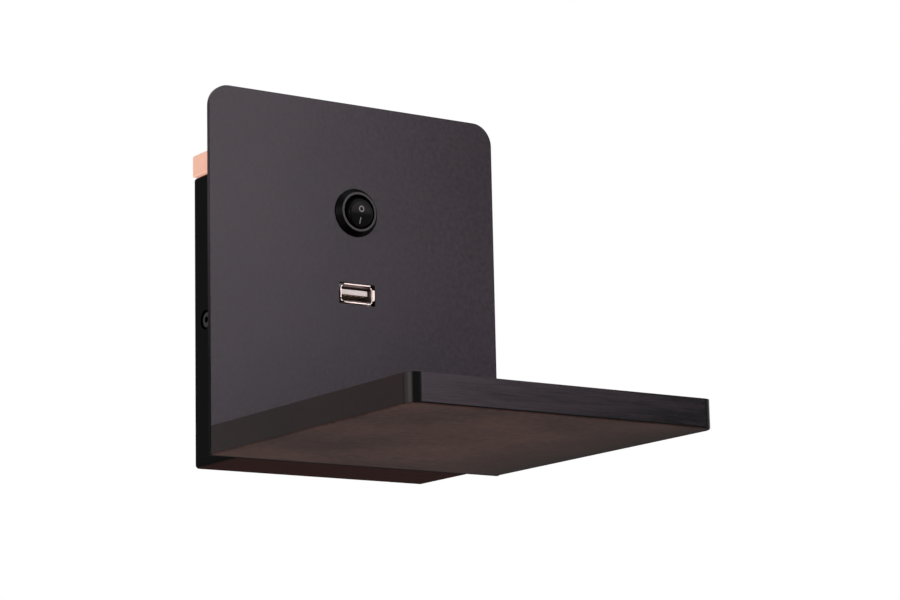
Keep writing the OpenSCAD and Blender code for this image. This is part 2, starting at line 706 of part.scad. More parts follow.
module usb_shell() {
    half_w = usb_shell_w / 2;
    half_h = usb_shell_h / 2;
    window = [2.4, 5.4];
    color("#d8d3d0") at_socket() {
        difference() {
            translate([0, 0, usb_back]) linear_extrude(usb_shell_l) difference() {
                round_rect(usb_shell_w, usb_shell_h, usb_corner);
                round_rect(usb_shell_w - 2 * usb_sheet, usb_shell_h - 2 * usb_sheet, usb_corner - usb_sheet);
            }
            for (x = [-1, 1]) translate([x * 3 - window[0] / 2, -usb_shell_h, usb_mouth - 3 - window[1]])
                cube([window[0], 2 * usb_shell_h, window[1]]);
        }
        for (x = [-1, 1], flip = [0, 1]) mirror([0, flip, 0])
            translate([x * 3, half_h - usb_sheet, usb_mouth - 3 + usb_sheet]) shell_finger();
        for (flip = [0, 1]) mirror([0, flip, 0]) translate([0, half_h - usb_sheet, usb_mouth]) rotate([90, 0, 90])
            linear_extrude(usb_shell_w - 2 * usb_corner - 0.4, center = true)
                polygon([[0, -eps], [usb_sheet, -eps], [usb_sheet + usb_edge_flare, usb_lip], [usb_edge_flare, usb_lip]]);
        for (flip = [0, 1]) mirror([flip, 0, 0]) translate([half_w - usb_sheet, 0, usb_mouth]) rotate([90, 0, 0])
            linear_extrude(usb_shell_h - 2 * usb_corner - 0.2, center = true)
                polygon([[0, -eps], [usb_sheet, -eps], [usb_sheet + usb_side_flare, usb_lip], [usb_side_flare, usb_lip]]);
        for (x = [-1, 1]) translate([x * (half_w - usb_sheet / 2) - usb_sheet / 2, board_y - 0.6, usb_back + 4.6])
            cube([usb_sheet, board_t + 0.6 + usb_corner, 1.8]);
    }
}

module usb_tongue() {
    color("#f4efe8") at_socket() difference() {
        union() {
            translate([-usb_tongue_w / 2, usb_tongue_y, usb_back])
                cube([usb_tongue_w, usb_tongue_t, usb_block_l + usb_tongue_l]);
            translate([0, 0, usb_back]) linear_extrude(usb_block_l)
                round_rect(usb_shell_w - 2 * usb_sheet - 0.2, usb_inner_h - 0.2, usb_corner - usb_sheet);
        }
        for (i = [0 : 3]) translate([(i - 1.5) * contact_pitch - pin_w / 2 - 0.02, usb_tongue_y - pin_t - 0.02, usb_back - 1])
            cube([pin_w + 0.04, pin_t + 0.04, usb_block_l + usb_tongue_l + 0.2]);
    }
}

module usb_contacts() {
    tail = usb_back - 1;
    color("gold") at_socket() for (i = [0 : 3]) translate([(i - 1.5) * contact_pitch - pin_w / 2, 0, 0]) {
        translate([0, usb_tongue_y - pin_t, tail - pin_t / 2]) cube([pin_w, pin_t, usb_tongue_l + usb_block_l + 0.2]);
        translate([pin_w / 2 - 0.35, board_y - 0.4, tail - pin_t / 2])
            cube([0.7, usb_tongue_y - board_y + 0.4, pin_t]);
    }
}

module usb_transformer() {
    y0 = board_y + board_t;
    z0 = usb_board_back + 0.3;
    color("#6b5a3a") at_socket() {
        translate([-9, y0, z0]) difference() {
            cube([9, 8.6, 5.2]);
            translate([1.6, 1.6, -1]) cube([5.8, 5.4, 8]);
        }
        translate([-4.5, y0 + 1.6, z0 + 2.6]) rotate([-90, 0, 0]) cylinder(r = 2.5, h = 5.4);
    }
}

module usb_capacitor() {
    color("#2b3f6b") at_socket() translate([6.4, board_y + board_t, usb_board_back + 3.2]) rotate([-90, 0, 0]) {
        cylinder(r = 2.6, h = 8.4);
        translate([0, 0, 8.4]) cylinder(r = 2.2, h = 0.4);
    }
}

// ---- Rocker switch ----
module switch_body() {
    color("#161617") at_switch() difference() {
        union() {
            rotate_extrude() polygon([[well_r, -panel_t], [barrel_r, -panel_t], [barrel_r, 0], [bezel_d / 2, 0],
                                      [bezel_d / 2, 0.5], [ring_r + 0.25, bezel_h - 0.3], [ring_r, bezel_h],
                                      [well_r + 0.2, bezel_h], [well_r, bezel_h - 0.3]]);
            translate([0, 0, -barrel_depth]) difference() {
                cylinder(r = barrel_r, h = barrel_depth - panel_t + eps);
                translate([0, 0, barrel_depth + floor_z]) cylinder(r = well_r, h = barrel_depth);
            }
            both_sides() translate([barrel_r - 0.3, 0, -panel_t]) rotate([90, 0, 0])
                linear_extrude(barb_w, center = true)
                    polygon([[0, -0.1], [0.85, -0.1], [0.85, -0.7], [0.1, -3.2], [0, -3.2]]);
            translate([-2, -contact_y - 1.2, floor_z - eps]) cube([4, 1.6, lever_z - floor_z - touch_gap]);
        }
        translate([0, 0, pivot_z]) rotate([0, 90, 0]) cylinder(r = pivot_r + fit_gap, h = 2 * barrel_r - 1.2, center = true);
        for (y = [0, load_y]) translate([-spade_w / 2 - fit_gap, y - spade_t / 2 - fit_gap, -barrel_depth - 1])
            cube([spade_w + 2 * fit_gap, spade_t + 2 * fit_gap, barrel_depth]);
    }
}

module at_rocker() at_switch() translate([0, 0, pivot_z]) rotate([rocker_swing / 2, 0, 0]) children();

// A round key whose face is a low roof; its sides taper so that it clears the well all through its swing
module switch_rocker() {
    lean = rocker_swing / 2;
    waist_r = rocker_r * cos(lean);
    waist_z = rocker_r * sin(lean);
    skirt_r = (rocker_r - rocker_under * sin(lean)) / cos(lean);
    crown_r = (rocker_r - rocker_ridge * sin(lean)) / cos(lean);
    eaves = rocker_ridge - rocker_r * tan(lean);
    color("#1d1c1e") at_rocker() difference() {
        union() {
            intersection() {
                rotate_extrude() polygon([[0, -rocker_under], [skirt_r, -rocker_under], [waist_r, -waist_z],
                                          [waist_r, waist_z], [crown_r, rocker_ridge], [0, rocker_ridge]]);
                rotate([90, 0, 90]) linear_extrude(2 * rocker_r, center = true)
                    polygon([[-rocker_r, -rocker_under - 1], [rocker_r, -rocker_under - 1], [rocker_r, eaves],
                             [0, rocker_ridge], [-rocker_r, eaves]]);
            }
            translate([0, 0, -stem_l]) cylinder(r = stem_r, h = stem_l);
            rotate([0, 90, 0]) cylinder(r = pivot_r, h = 2 * barrel_r - 1.4, center = true);
        }
        difference() {
            translate([0, 0, -rocker_under - 1]) cylinder(r = rocker_r - 2, h = rocker_under);
            translate([0, 0, -rocker_under - 2]) cylinder(r = stem_r, h = rocker_under + 2);
        }
        translate([0, 0, -stem_l - 1]) cylinder(r = plunger_bore_r, h = stem_l + 1 + 0.4);
    }
}

module switch_plunger() {
    color("#d9d4c8") at_rocker() translate([0, 0, -plunger_reach]) {
        sphere(r = tip_r, $fn = 48);
        cylinder(r = tip_r, h = 1.4);
        translate([0, 0, 1.4]) cylinder(r = plunger_r, h = plunger_l - 1.4);
    }
}

// Wire of the rocker's spring: one tube along a helix, as rings of six points
module switch_spring() {
    low = -plunger_reach + plunger_l + spring_wire / 2;
    high = 0.4 - spring_wire / 2 - 0.02;
    steps = 8 * spring_turns;
    sides = 6;
    pitch_angle = atan((high - low) / (2 * PI * spring_r * spring_turns));
    rings = [for (i = [0 : steps]) let (a = 360 * spring_turns * i / steps, z = low + (high - low) * i / steps)
        for (k = [0 : sides - 1]) let (b = 360 * k / sides, out = spring_wire / 2 * cos(b), up = spring_wire / 2 * sin(b))
            [(spring_r + out) * cos(a) + up * sin(pitch_angle) * sin(a),
             (spring_r + out) * sin(a) - up * sin(pitch_angle) * cos(a),
             z + up * cos(pitch_angle)]];
    walls = [for (i = [0 : steps - 1], k = [0 : sides - 1]) let (a = i * sides + k, b = i * sides + (k + 1) % sides)
        each [[a, b + sides, b], [a, a + sides, b + sides]]];
    caps = [[for (k = [0 : sides - 1]) k], [for (k = [0 : sides - 1]) (steps + 1) * sides - 1 - k]];
    color("silver") at_rocker() polyhedron(rings, concat(walls, caps));
}

module at_lever() at_switch() translate([0, 0, lever_z]) rotate([-lever_swing / 2, 0, 0]) children();

// Bent strip that rocks on its bend, in a groove across the middle terminal
module contact_lever() {
    rise = lever_arm * tan(lever_swing / 2);
    color("#b87333") at_lever() difference() {
        union() {
            rotate([90, 0, 90]) linear_extrude(lever_w, center = true)
                polygon([[0, 0], [lever_arm, rise], [lever_arm, rise + lever_t], [0, lever_t],
                         [-lever_arm, rise + lever_t], [-lever_arm, rise]]);
            rotate([0, 90, 0]) cylinder(r = lever_bend_r, h = lever_w, center = true);
        }
        rotate([lever_swing / 2, 0, 0]) translate([0, contact_y, -1]) cylinder(r = 0.6, h = 3);
    }
}

module moving_contact() {
    color("silver") at_lever() rotate([lever_swing / 2, 0, 0]) translate([0, contact_y, 0]) {
        translate([0, 0, -contact_t]) cylinder(r = contact_r, h = contact_t);
        cylinder(r = 0.6, h = lever_t + 0.15);
    }
}

module common_terminal() {
    cheek = 0.5;
    color("gold") at_switch() difference() {
        union() {
            translate([-spade_w / 2, -spade_t / 2, spade_end])
                cube([spade_w, spade_t, lever_z - touch_gap - spade_end]);
            both_sides() translate([lever_w / 2 + 0.15, -spade_t / 2, lever_z - touch_gap - eps])
                cube([cheek, spade_t, 1.4]);
        }
        translate([0, 0, lever_z]) rotate([0, 90, 0])
            cylinder(r = lever_bend_r + touch_gap, h = lever_w + 0.2, center = true);
    }
}

module load_terminal() {
    top = lever_z - contact_t - touch_gap;
    color("gold") at_switch() translate([0, load_y, 0]) {
        translate([-spade_w / 2, -spade_t / 2, spade_end]) cube([spade_w, spade_t, floor_z + 0.2 - spade_end]);
        translate([0, 0, floor_z + 0.2 - eps]) cylinder(r = contact_r, h = top - floor_z - 0.2 + eps);
    }
}

// Push-on connectors on the two spades, each a flat sleeve with a crimped neck for its lead
module switch_connectors() {
    w = spade_w + 2 * (sleeve_wall + fit_gap);
    t = spade_t + 2 * (sleeve_wall + fit_gap);
    color("#c9b27a") at_switch() for (y = [0, load_y]) translate([0, y, sleeve_end]) difference() {
        union() {
            translate([-w / 2, -t / 2, 0]) cube([w, t, sleeve_l]);
            translate([0, 0, -2]) cylinder(r = lead_r + 0.5, h = 2 + eps);
        }
        translate([-spade_w / 2 - fit_gap, -spade_t / 2 - fit_gap, 0.8]) cube([w - 2 * sleeve_wall, t - 2 * sleeve_wall, sleeve_l]);
        translate([0, 0, -3]) cylinder(r = lead_r + fit_gap, h = 3 + 0.4);
    }
}

// ---- Leads inside the housing ----
// A lead bends at each of its points, where a ball joins two straight runs
module lead(points) {
    for (i = [0 : len(points) - 2]) {
        run = points[i + 1] - points[i];
        l = norm(run);
        translate(points[i]) rotate([0, acos(run[2] / l), atan2(run[1], run[0])]) cylinder(r = lead_r, h = l);
        if (i > 0) translate(points[i]) sphere(r = lead_r);
    }
}

lead_start = block_top - 1 - lead_in;
rear_lane = clamp_y + 2.3;                   // lane close to the bracket
cross_z = (block_top + usb_under) / 2;       // lane between the terminal block and the socket's case
usb_rear = plate_y - usb_case_back + 1.2;
switch_lead_y = plate_y - sleeve_end + 1.6;
side_lane_x = -(usb_case_w / 2 + usb_lug + 3);
driver_in_depth = 5;                         // leads' entry, in front of the driver's lid
driver_in_y = driver_back - driver_in_depth;
earth_lead_l = 13;                           // clear of the screw in the slot below the earth tag
earth_turn_z = earth_z - earth_lead_l;
earth_lug_l = 7;                             // from the earth screw down to the lead's end

module live_leads() {
    color("#6b3f1f") {
        lead([[live_x + lead_pair, clamp_y, lead_start], [live_x + lead_pair, clamp_y, switch_z],
              [0, clamp_y, switch_z], [0, switch_lead_y, switch_z]]);
        lead([[live_x - lead_pair, clamp_y, lead_start], [live_x - lead_pair, clamp_y, usb_z - 1],
              [8, clamp_y, usb_z - 1], [8, usb_rear, usb_z - 1]]);
    }
}

module neutral_leads() {
    to_driver_x = driver_x0 + driver_l - driver_lug - 3;
    color("#2f5d9b") {
        lead([[neutral_x + lead_pair, clamp_y, lead_start], [neutral_x + lead_pair, clamp_y, cross_z],
              [neutral_x + lead_pair, driver_in_y, cross_z], [to_driver_x, driver_in_y, cross_z],
              [to_driver_x, driver_in_y, driver_top]]);
        lead([[neutral_x - lead_pair, clamp_y, lead_start], [neutral_x - lead_pair, clamp_y, cross_z],
              [neutral_x - lead_pair, rear_lane, cross_z], [neutral_x - lead_pair, rear_lane, usb_z + 3],
              [5, rear_lane, usb_z + 3], [5, usb_rear, usb_z + 3]]);
    }
}

module switched_lead() {
    z = switch_z + load_y;
    color("#6b3f1f") lead([[0, switch_lead_y, z], [0, clamp_y, z], [side_lane_x, clamp_y, z],
                           [side_lane_x, clamp_y, driver_top + 5], [side_lane_x, driver_in_y, driver_top + 5],
                           [side_lane_x, driver_in_y, driver_top]]);
}

module led_leads() {
    over = z_roof + led_board_t + 1.6;
    color("#b03a30") for (side = [-1, 1]) {
        y = led_y + side * (lead_pair + 0.2);
        lead([[driver_x0 + driver_lug, y, driver_top - 6], [led_wire_x, y, driver_top - 6],
              [led_wire_x, y, over], [led_board_x0 + 2, y, over],
              [led_board_x0 + 2, y, z_roof + led_board_t]]);
    }
}

module earth_lead() {
    color("#6f9b2f") lead([[earth_pole_x, clamp_y, lead_start], [earth_pole_x, clamp_y, earth_turn_z],
                           [earth_x, clamp_y, earth_turn_z], [earth_x, bracket_face - 1.7, earth_turn_z],
                           [earth_x, bracket_face - 1.7, earth_z - earth_lug_l]]);
}

front_plate();
plate_studs();
plate_nuts();
shelf_tray();
shelf_top();
shelf_stiffener();
shelf_tape();
shelf_nuts();
shelf_screws();
housing();
diffuser();
led_board();
led_chips();
led_screws();
led_bush();
wall_bracket();
bracket_nuts();
side_screws();
cable_grommet();
terminal_block();
terminal_clamps();
terminal_screws();
block_screws();
earth_tag();
earth_screw();
driver_case();
driver_lid();
driver_screws();
usb_case();
usb_lid();
usb_case_screws();
usb_board();
usb_shell();
usb_tongue();
usb_contacts();
usb_transformer();
usb_capacitor();
switch_body();
switch_rocker();
switch_plunger();
switch_spring();
contact_lever();
moving_contact();
common_terminal();
load_terminal();
switch_connectors();
live_leads();
neutral_leads();
switched_lead();
led_leads();
earth_lead();
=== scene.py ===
import math

import bmesh
import bpy
from mathutils import Matrix, Vector


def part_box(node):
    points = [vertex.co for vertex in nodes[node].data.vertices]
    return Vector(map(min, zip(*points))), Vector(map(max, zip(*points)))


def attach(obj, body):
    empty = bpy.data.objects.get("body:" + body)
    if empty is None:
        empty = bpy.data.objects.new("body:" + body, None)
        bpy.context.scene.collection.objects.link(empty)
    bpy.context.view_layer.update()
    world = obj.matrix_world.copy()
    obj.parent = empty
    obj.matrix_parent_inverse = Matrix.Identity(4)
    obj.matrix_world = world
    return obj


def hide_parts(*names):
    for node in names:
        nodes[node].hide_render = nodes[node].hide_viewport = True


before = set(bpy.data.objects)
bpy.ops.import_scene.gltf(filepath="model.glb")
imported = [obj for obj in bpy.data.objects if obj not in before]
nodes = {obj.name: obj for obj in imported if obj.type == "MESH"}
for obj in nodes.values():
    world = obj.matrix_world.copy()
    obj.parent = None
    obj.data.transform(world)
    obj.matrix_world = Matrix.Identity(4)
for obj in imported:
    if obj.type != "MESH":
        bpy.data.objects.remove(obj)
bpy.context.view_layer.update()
scene = bpy.context.scene
scene.view_settings.view_transform = "Standard"

# ---- Camera ----
# The photograph is taken with a long lens from the left, in front of the lamp and a little below it,
# so the camera looks up at the shelf's underside and leans by about a degree.
to_the_right = Vector((0.825133, -0.564545, -0.021085))
downwards = Vector((0.093445, 0.173197, -0.980444))
ahead = Vector((0.557157, 0.807027, 0.195664))
camera_data = bpy.data.cameras.new("camera")
camera_data.sensor_width = 36
camera_data.lens = 114
camera = bpy.data.objects.new("camera", camera_data)
camera.matrix_world = (Matrix.Translation((-0.536836, -0.867574, -0.191456))
                       @ Matrix((to_the_right, -downwards, -ahead)).transposed().to_4x4())
scene.collection.objects.link(camera)
scene.camera = camera


# ---- Stage and light ----
# A pale, slightly warm floor lies under the lamp and takes its shadow. Round it everything is white, as in
# a cut-out picture. Four soft boxes light the lamp: from the front, from its left and from above.
class Socket:
    """A node's output in a sum: an expression on sockets and numbers adds its Math nodes."""

    def __init__(self, graph, output):
        self.graph, self.output = graph, output

    def sum(self, operation, *values):
        return self.graph.node("Math", {"operation": operation}, dict(enumerate(values)))

    def __add__(self, other):
        return self.sum("ADD", self, other)

    def __sub__(self, other):
        return self.sum("SUBTRACT", self, other)

    def __rsub__(self, other):
        return self.sum("SUBTRACT", other, self)

    def __mul__(self, other):
        return self.sum("MULTIPLY", self, other)

    def __truediv__(self, other):
        return self.sum("DIVIDE", self, other)

    def __pow__(self, other):
        return self.sum("POWER", self, other)

    def __gt__(self, other):
        return self.sum("GREATER_THAN", self, other)

    def __lt__(self, other):
        return self.sum("LESS_THAN", self, other)

    def __or__(self, other):
        return self.sum("MAXIMUM", self, other)

    def __and__(self, other):
        return self.sum("MINIMUM", self, other)

    __radd__ = __add__
    __rmul__ = __mul__

    def modulo(self, other):
        return self.sum("FLOORED_MODULO", self, other)

    def size(self):
        return self.sum("ABSOLUTE", self)


class Graph:
    """The nodes of one material, or of the world."""

    def __init__(self, owner):
        owner.use_nodes = True
        self.tree = owner.node_tree
        self.tree.nodes.clear()

    def node(self, kind, settings=(), inputs=(), output=0):
        """Adds a node: first its settings, then the values or links of its sockets."""
        made = self.tree.nodes.new("ShaderNode" + kind)
        for name, value in dict(settings).items():
            if name == "stops":
                stops = made.color_ramp.elements
                while len(stops) < len(value):
                    stops.new(1)
                for stop, (place, colour) in zip(stops, value):
                    stop.position, stop.color = place, colour
            else:
                setattr(made, name, value)
        for name, value in dict(inputs).items():
            if isinstance(value, Socket):
                self.tree.links.new(value.output, made.inputs[name])
            else:
                made.inputs[name].default_value = value
        return Socket(self, made.outputs[output]) if made.outputs else None

    def mix(self, share, first, second):
        """One colour running over into another; a Mix node's sixth and seventh sockets are colours."""
        return self.node("Mix", {"data_type": "RGBA"}, {0: share, 6: first, 7: second}, 2)


def shade(red, green, blue):
    """A colour as it shows on screen, 0 to 255, in the linear values that Blender works with."""
    return tuple(((c / 255 + 0.055) / 1.055) ** 2.4 if c > 10 else c / 255 / 12.92
                 for c in (red, green, blue)) + (1.0,)


def looked_at(graph):
    """1 for what the camera sees, straight, mirrored in gloss or through a clear pane, and else 0."""
    camera_ray = graph.node("LightPath")
    rays = camera_ray.output.node.outputs
    return camera_ray | Socket(graph, rays["Is Glossy Ray"]) | Socket(graph, rays["Is Transmission Ray"])


studio = bpy.data.worlds.new("studio")
scene.world = studio
surround = Graph(studio)
ambient = surround.node("Background", {}, {"Color": (1, 0.98, 0.97, 1), "Strength": 0.42})
white = surround.node("Background", {}, {"Color": (1, 1, 1, 1), "Strength": 1.0})
surround.node("OutputWorld", {}, {
    "Surface": surround.node("MixShader", {}, {0: looked_at(surround), 1: ambient, 2: white})})

floor_height, floor_reach = -0.42, 3
fade_from, fade_to = 0.2, 1.0
floor_mesh = bmesh.new()
bmesh.ops.create_grid(floor_mesh, x_segments=1, y_segments=1, size=floor_reach,
                      matrix=Matrix.Translation((0, 0, floor_height)))
floor_data = bpy.data.meshes.new("floor")
floor_mesh.to_mesh(floor_data)
floor_mesh.free()
floor_finish = bpy.data.materials.new("pale_floor")
floor_graph = Graph(floor_finish)
floor_look = floor_graph.node("BsdfPrincipled", {}, {"Base Color": shade(246, 232, 222), "Roughness": 0.7})
far_off = floor_graph.node("Emission", {}, {"Color": (1, 1, 1, 1), "Strength": 1.0})
floor_place = floor_graph.node("TexCoord", {}, {}, "Object")
level_place = floor_graph.node("VectorMath", {"operation": "MULTIPLY"}, {0: floor_place, 1: (1, 1, 0)})
floor_distance = floor_graph.node("VectorMath", {"operation": "LENGTH"}, {0: level_place}, "Value")
fading = floor_graph.node("MapRange", {"interpolation_type": "SMOOTHSTEP"},
                          {"Value": floor_distance, "From Min": fade_from, "From Max": fade_to})
near_and_far = floor_graph.node("MixShader", {}, {
    0: fading * looked_at(floor_graph), 1: floor_look, 2: far_off})
see_through = floor_graph.node("BsdfTransparent")
from_below = floor_graph.node("NewGeometry", {}, {}, "Backfacing")
floor_graph.node("OutputMaterial", {}, {
    "Surface": floor_graph.node("MixShader", {}, {0: from_below, 1: near_and_far, 2: see_through})})
floor_data.materials.append(floor_finish)
floor = bpy.data.objects.new("floor", floor_data)
scene.collection.objects.link(floor)


def softbox(name, aside, up, reach, size, brightness, colour=(1, 1, 1)):
    """A square light that faces the lamp, so many degrees to the right of its front and upwards."""
    turn, rise = math.radians(aside), math.radians(up)
    level = math.cos(rise)
    place = reach * Vector((math.sin(turn) * level, -math.cos(turn) * level, math.sin(rise)))
    lamp = bpy.data.lights.new(name, "AREA")
    lamp.size = size
    lamp.energy = brightness * math.pi * size * size
    lamp.color = colour
    box = bpy.data.objects.new(name, lamp)
    box.matrix_world = Matrix.Translation(place) @ (-place).to_track_quat("-Z", "Y").to_matrix().to_4x4()
    box.visible_camera = False
    scene.collection.objects.link(box)


softbox("softbox_key", 23, 15, 1.9, 0.6, 12, (1, 0.92, 0.99))
softbox("softbox_side", -75, 10, 1.9, 0.8, 5)
softbox("softbox_over", -20, 45, 2.2, 1.2, 1.5)
softbox("softbox_top", 0, 86, 2.0, 1.6, 1.1)


# ---- Front plate ----
# The plate is 1.5 mm steel, laser cut with round top corners, a round hole for the switch and a
# rectangular one for the charging socket, and powder coated in a fine matt charcoal.
class Finish(Graph):
    """A material in the part's own coordinates, in metres, that ends in one Principled surface."""

    def __init__(self, name):
        self.material = bpy.data.materials.new(name)
        super().__init__(self.material)
        self.place = self.node("TexCoord", {}, {}, "Object")
        self.at = {axis: self.node("SeparateXYZ", {}, {0: self.place}, axis) for axis in "XYZ"}

    def grain(self, size, detail=2.0, stretch=(1, 1, 1), roughness=0.5):
        """Noise from 0 to 1 whose spots are about as large as the size, in metres."""
        drawn = self.place
        if stretch != (1, 1, 1):
            drawn = self.node("Mapping", {}, {"Vector": self.place, "Scale": stretch})
        return self.node("TexNoise", {}, {"Vector": drawn, "Scale": 1 / size, "Detail": detail,
                                          "Roughness": roughness})

    def cells(self, size, output="Distance"):
        """Scattered cells of about one size: the way to the nearest centre, or the cell's own colour."""
        return self.node("TexVoronoi", {}, {"Vector": self.place, "Scale": 1 / size}, output)

    def bump(self, height, depth):
        """Relief from a height of 0 to 1 that stands for the depth, in metres."""
        return self.node("Bump", {}, {"Height": height, "Distance": depth, "Strength": 1.0})

    def surface(self, **sockets):
        """Ends the material; a socket's name is written with _ for a space."""
        inputs = {name.replace("_", " "): value for name, value in sockets.items()}
        look = self.node("BsdfPrincipled", {}, inputs)
        self.node("OutputMaterial", {}, {"Surface": look})
        return self.material


def powder_coat(name, dark, light, roughness, specular, grain=0.00028, painted_light=None):
    """Baked powder: a fine pebbled skin, cloudy by a few percent, with a rare pale speck of dust."""
    coat = Finish(name)
    pebble = coat.grain(grain, 3)
    patch = coat.grain(0.0017, 3)
    cloud = coat.grain(0.045, 2)
    tone = 0.3 * pebble + 0.5 * patch + 0.3 * cloud
    dust_gap, dust_size, dust_left_out = 0.006, 0.022, 0.62
    some = coat.node("SeparateColor", {}, {0: coat.cells(dust_gap, "Color")}, 0) > dust_left_out
    speck = (coat.cells(dust_gap) < dust_size) * some
    tinted = coat.mix((tone - 0.36) / 0.38, dark, light)
    rough = roughness - 0.06 + 0.12 * patch
    # An optional area takes another colour and roughness: painted shade or a painted warm reflection, as each
    # caller gives it.
    if painted_light:
        where, colour, rougher = painted_light
        tinted = coat.mix(where(coat), tinted, colour)
        rough = rough + rougher * where(coat)
    return coat.surface(
        Base_Color=coat.mix(speck * 0.55, tinted, shade(150, 142, 142)),
        Roughness=rough,
        Specular_IOR_Level=specular,
        Normal=coat.bump(0.5 * pebble + 0.9 * patch, 0.00003))


def merged_copy(node):
    """The frame's shape of a node, its loose triangles joined and its flat faces made whole."""
    shape = bmesh.new()
    shape.from_mesh(nodes[node].data)
    bmesh.ops.remove_doubles(shape, verts=shape.verts, dist=2e-6)
    bmesh.ops.dissolve_limit(shape, angle_limit=math.radians(0.5), verts=shape.verts, edges=shape.edges)
    return shape


def round_off(shape, radius, segments=2, sharper_than=35, chosen=lambda edge: True):
    """Rounds the edges between faces that meet at more than an angle."""
    limit = math.radians(sharper_than)
    edges = [e for e in shape.edges if e.is_manifold and e.calc_face_angle() > limit and chosen(e)]
    bmesh.ops.bevel(shape, geom=edges, offset=radius, offset_type="OFFSET", affect="EDGES",
                    segments=segments, profile=0.5, material=-1, clamp_overlap=True)


def piece(name, shape, body, slot, finish, *stands_for, smooth=40):
    """Makes a finished shape a piece of the lamp that moves with a body and stands for CAD nodes."""
    data = bpy.data.meshes.new(name)
    shape.to_mesh(data)
    shape.free()
    data.shade_smooth()
    data.set_sharp_from_angle(angle=math.radians(smooth))
    data.materials.append(finish)
    made = bpy.data.objects.new(name, data)
    scene.collection.objects.link(made)
    made.modifiers.new("even_shading", "WEIGHTED_NORMAL").keep_sharp = True
    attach(made, body)
    if stands_for:
        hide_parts(*stands_for)
    return made


def softened(name, node, slot, finish, radius, body="lamp", segments=2):
    """A piece in a CAD node's shape with its edges broken, as they are when stamped or moulded."""
    shape = merged_copy(node)
    round_off(shape, radius, segments)
    return piece(name, shape, body, slot, finish, node)


def dress(node, finish):
    """Gives a CAD node that keeps its own shape its material."""
    nodes[node].data.materials.clear()
    nodes[node].data.materials.append(finish)


plate_low, plate_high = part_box("front_plate")
side_band, foot_band = 0.0002, 0.0005
edge_shade_from, edge_shade_over, edge_shade_least = 0.05, 0.07, 0.25


def shaded_cut_edge(coat):
    """The plate's cut side edges, painted darker towards the foot as painted shade, and its lower edge,
    painted near black as painted shadow along its foot.
    """
    side = coat.at["X"].size() > plate_high.x - side_band
    lower_part = ((edge_shade_from - coat.at["Z"]) / edge_shade_over) & 1.0
    return (side * (lower_part | edge_shade_least)) | (coat.at["Z"] < plate_low.z + foot_band)


# The plate's cut side edges and lower edge take a near-black colour: painted shade and painted shadow.
plate_coat = powder_coat("plate_powder_coat", shade(26, 21, 27), shade(48, 41, 49), 0.24, 0.08,
                         painted_light=(shaded_cut_edge, shade(5, 4, 5), 0.6))
plate_shape = merged_copy("front_plate")
round_off(plate_shape, 0.0003, 3)
piece("plate", plate_shape, "lamp", "plate_powder", plate_coat, "front_plate")


def plated(name, bright, dull, roughness, scuff=0.5):
    """Plated or bare metal: cloudy where it has dulled, with fine rubbing marks in its roughness."""
    metal = Finish(name)
    cloud = metal.grain(0.004, 4)
    rub = metal.grain(0.0006, 3, (1, 1, 0.12))
    return metal.surface(
        Base_Color=metal.mix(0.65 * cloud + 0.35 * rub, bright, dull),
        Metallic=1.0,
        Roughness=roughness + 0.18 * (cloud - 0.5) + 0.16 * scuff * rub,
        Normal=metal.bump(rub, 0.000006))


zinc = plated("zinc_plating", (0.62, 0.62, 0.60, 1), (0.44, 0.44, 0.42, 1), 0.34)
softened("weld_studs", "plate_studs", "zinc", zinc, 0.0002)
softened("stud_nuts", "plate_nuts", "zinc", zinc, 0.0002)

# ---- Shelf ----
# The shelf is a tray folded from 1.2 mm steel, its front corners welded and dressed round, with a
# panel dropped in from above. Its front edge was brushed before the thin dark coat went on.
tray_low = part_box("shelf_tray")[0]
tray_bend, foot_shade_strip, tray_skin_band, tray_foot_band = 0.0045, 0.0008, 0.00003, 0.0003
right_shade_from, right_shade_over = 0.014, 0.041
tray_coat = Finish("tray_coat")
under = tray_coat.at["Z"] < tray_low.z + tray_foot_band
front_face = tray_coat.at["Y"] < tray_low.y + tray_skin_band
# The front face's lowest strip is left out of the brushing and painted near black, as painted shade along its
# lower edge.
brushed = front_face * (tray_coat.at["Z"] > tray_low.z + foot_shade_strip)
bent = (tray_coat.at["Y"] < tray_low.y + tray_bend) * (1 - brushed) * (1 - under)
# On the front bends a light band between dark ones is painted: a painted highlight with painted shade on both
# sides.
bend_highlight = tray_coat.node(
    "ValToRGB",
    {"stops": [(0.26, (0, 0, 0, 1)), (0.33, (1, 1, 1, 1)), (0.74, (1, 1, 1, 1)), (0.95, (0, 0, 0, 1))]},
    {0: (tray_coat.at["Y"] - tray_low.y) / tray_bend})
brush_line = tray_coat.grain(0.0004, 4, (0.03, 1, 1), 0.75)
brush_band = tray_coat.grain(0.004, 3, (0.08, 1, 1))
tray_pebble = tray_coat.grain(0.0003, 3)
tray_patch = tray_coat.grain(0.003, 3)
tray_cloud = tray_coat.grain(0.045, 2)
tray_tone = (0.22 * tray_pebble + 0.33 * tray_patch + 0.45 * tray_cloud - 0.36) / 0.3
tray_side = tray_coat.mix(tray_tone, shade(18, 5, 6), shade(30, 13, 14))
# The underside's brown is a painted warm reflection of the floor over its real mottling, and it darkens
# towards the right end as painted shade.
tray_right_shade = ((tray_coat.at["X"] - right_shade_from) / right_shade_over | 0.0) ** 1.6
tray_under_reflected = tray_coat.mix(0.9 * tray_right_shade, tray_coat.mix(tray_tone, shade(35, 19, 17), shade(77, 57, 54)),
                           shade(24, 11, 9))
bend_light_and_shade = tray_coat.mix(bend_highlight, tray_coat.mix(tray_tone, shade(2, 1, 1), shade(6, 5, 5)),
                            shade(50, 45, 46))
